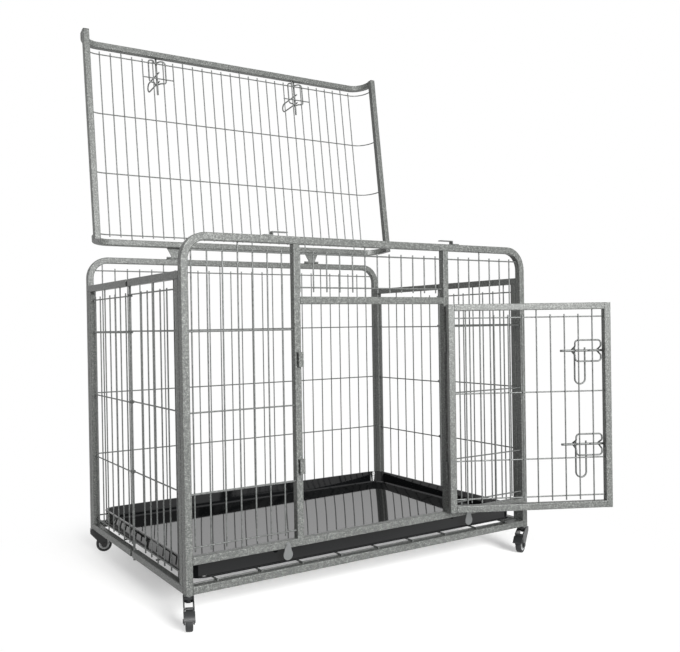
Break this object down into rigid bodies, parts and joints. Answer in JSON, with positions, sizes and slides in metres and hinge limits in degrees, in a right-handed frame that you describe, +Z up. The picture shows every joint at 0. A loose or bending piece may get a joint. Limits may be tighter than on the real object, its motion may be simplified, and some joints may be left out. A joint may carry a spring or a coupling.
{
  "type": "heavy duty dog crate",
  "caption": "Square-tube dog crate with welded wire panels, a hinged front door and hinged lid with slide bolts, a lift-out tray and swivel casters with brakes.",
  "frame": {"origin": "centre of the outline on the floor, with the door and the lid open as stored", "axes": "+Z up, +X along the front towards the door's hinges, -Y out of the front"},
  "size_m": [1.3134, 1.1717, 1.6975],
  "materials": {
    "hammertone_paint": "satin",
    "wire_paint": "satin",
    "bright_steel": "satin",
    "tray_plastic": "gloss",
    "black_plastic": "satin",
    "rim_plastic": "satin",
    "tyre_rubber": "matte"
  },
  "bodies": {
    "crate": {"front_arch": "hammertone_paint", "rear_arch": "hammertone_paint", "door_posts": "hammertone_paint", "door_header": "hammertone_paint", "front_sill_rail": "hammertone_paint", "front_base_rail": "hammertone_paint", "rear_base_rail": "hammertone_paint", "side_top_rails": "hammertone_paint", "side_base_rails": "hammertone_paint", "side_stiles": "hammertone_paint", "front_left_mesh": "wire_paint", "front_header_mesh": "wire_paint", "front_right_mesh": "wire_paint", "rear_mesh": "wire_paint", "left_rear_mesh": "wire_paint", "left_front_mesh": "wire_paint", "right_rear_mesh": "wire_paint", "right_front_mesh": "wire_paint", "fold_rods": "wire_paint", "floor_grid": "wire_paint", "door_keepers": "hammertone_paint", "lid_catches": "hammertone_paint", "hinge_pins": "bright_steel", "door_post_knuckles": "hammertone_paint", "lid_hinge_brackets": "hammertone_paint", "tab_rivets": "bright_steel", "caster_stems": "bright_steel"},
    "lid": {"lid_rails": "hammertone_paint", "lid_side_tubes": "hammertone_paint", "lid_mesh": "wire_paint", "lid_end_caps": "black_plastic", "lid_hinge_leaves": "hammertone_paint", "lid_bolt_guides": "wire_paint"},
    "door": {"door_frame": "hammertone_paint", "door_mesh": "wire_paint", "door_hinge_leaves": "hammertone_paint", "door_bolt_guides": "wire_paint"},
    "tray": {"tray": "tray_plastic"},
    "tray_tab_left": {"tray_tab_left": "bright_steel"},
    "tray_tab_right": {"tray_tab_right": "bright_steel"},
    "lid_bolt_left": {"lid_bolt_left": "wire_paint"},
    "lid_bolt_right": {"lid_bolt_right": "wire_paint"},
    "door_bolt_upper": {"door_bolt_upper": "wire_paint"},
    "door_bolt_lower": {"door_bolt_lower": "wire_paint"},
    "fork_front_left": {"fork_front_left": "black_plastic"},
    "wheel_front_left": {"rim_front_left": "rim_plastic", "tyre_front_left": "tyre_rubber"},
    "pedal_front_left": {"pedal_front_left": "black_plastic"},
    "fork_front_right": {"fork_front_right": "black_plastic"},
    "wheel_front_right": {"rim_front_right": "rim_plastic", "tyre_front_right": "tyre_rubber"},
    "pedal_front_right": {"pedal_front_right": "black_plastic"},
    "fork_rear_left": {"fork_rear_left": "black_plastic"},
    "wheel_rear_left": {"rim_rear_left": "rim_plastic", "tyre_rear_left": "tyre_rubber"},
    "pedal_rear_left": {"pedal_rear_left": "black_plastic"},
    "fork_rear_right": {"fork_rear_right": "black_plastic"},
    "wheel_rear_right": {"rim_rear_right": "rim_plastic", "tyre_rear_right": "tyre_rubber"},
    "pedal_rear_right": {"pedal_rear_right": "black_plastic"}
  },
  "joints": [
    {"name": "lid_hinge", "type": "hinge", "parent": "crate", "child": "lid", "pos_m": [-0.03972, 0.40519, 0.964], "axis": [-1, 0, 0], "range_deg": [-97, 0]},
    {"name": "door_hinge", "type": "hinge", "parent": "crate", "child": "door", "pos_m": [0.20928, -0.35481, 0.475], "axis": [0, 0, 1], "range_deg": [-155, 16]},
    {"name": "tray_lift", "type": "slide", "parent": "crate", "child": "tray", "axis": [0, 0, 1], "range_m": [0, 0.85]},
    {"name": "tray_tab_left_turn", "type": "hinge", "parent": "crate", "child": "tray_tab_left", "pos_m": [-0.34172, -0.34981, 0.158], "axis": [0, -1, 0], "range_deg": [-100, 100]},
    {"name": "tray_tab_right_turn", "type": "hinge", "parent": "crate", "child": "tray_tab_right", "pos_m": [0.29528, -0.34981, 0.158], "axis": [0, -1, 0], "range_deg": [-100, 100]},
    {"name": "lid_bolt_left_slide", "type": "slide", "parent": "lid", "child": "lid_bolt_left", "axis": [0, -0.1219, -0.9925], "range_m": [-0.035, 0]},
    {"name": "lid_bolt_right_slide", "type": "slide", "parent": "lid", "child": "lid_bolt_right", "axis": [0, -0.1219, -0.9925], "range_m": [-0.035, 0]},
    {"name": "door_bolt_upper_slide", "type": "slide", "parent": "door", "child": "door_bolt_upper", "axis": [-0.9063, 0.4226, 0], "range_m": [-0.035, 0]},
    {"name": "door_bolt_lower_slide", "type": "slide", "parent": "door", "child": "door_bolt_lower", "axis": [-0.9063, 0.4226, 0], "range_m": [-0.035, 0]},
    {"name": "swivel_front_left", "type": "hinge", "parent": "crate", "child": "fork_front_left", "pos_m": [-0.61972, -0.33981, 0.05], "axis": [0, 0, 1], "continuous": true},
    {"name": "spin_front_left", "type": "hinge", "parent": "fork_front_left", "child": "wheel_front_left", "pos_m": [-0.63096, -0.36763, 0.025], "axis": [-0.9272, 0.3746, 0], "continuous": true},
    {"name": "brake_front_left", "type": "hinge", "parent": "fork_front_left", "child": "pedal_front_left", "pos_m": [-0.63358, -0.37412, 0.0555], "axis": [0.9272, -0.3746, 0], "range_deg": [0, 6]},
    {"name": "swivel_front_right", "type": "hinge", "parent": "crate", "child": "fork_front_right", "pos_m": [0.54028, -0.33981, 0.05], "axis": [0, 0, 1], "continuous": true},
    {"name": "spin_front_right", "type": "hinge", "parent": "fork_front_right", "child": "wheel_front_right", "pos_m": [0.51309, -0.35249, 0.025], "axis": [-0.4226, 0.9063, 0], "continuous": true},
    {"name": "brake_front_right", "type": "hinge", "parent": "fork_front_right", "child": "pedal_front_right", "pos_m": [0.50675, -0.35545, 0.0555], "axis": [0.4226, -0.9063, 0], "range_deg": [0, 6]},
    {"name": "swivel_rear_left", "type": "hinge", "parent": "crate", "child": "fork_rear_left", "pos_m": [-0.61972, 0.40519, 0.05], "axis": [0, 0, 1], "continuous": true},
    {"name": "spin_rear_left", "type": "hinge", "parent": "fork_rear_left", "child": "wheel_rear_left", "pos_m": [-0.59088, 0.39692, 0.025], "axis": [-0.2756, -0.9613, 0], "continuous": true},
    {"name": "brake_rear_left", "type": "hinge", "parent": "fork_rear_left", "child": "pedal_rear_left", "pos_m": [-0.58415, 0.39499, 0.0555], "axis": [0.2756, 0.9613, 0], "range_deg": [0, 6]},
    {"name": "swivel_rear_right", "type": "hinge", "parent": "crate", "child": "fork_rear_right", "pos_m": [0.54028, 0.40519, 0.05], "axis": [0, 0, 1], "continuous": true},
    {"name": "spin_rear_right", "type": "hinge", "parent": "fork_rear_right", "child": "wheel_rear_right", "pos_m": [0.55054, 0.377, 0.025], "axis": [-0.9397, -0.342, 0], "continuous": true},
    {"name": "brake_rear_right", "type": "hinge", "parent": "fork_rear_right", "child": "pedal_rear_right", "pos_m": [0.55294, 0.37042, 0.0555], "axis": [0.9397, 0.342, 0], "range_deg": [0, 6]}
  ]
}
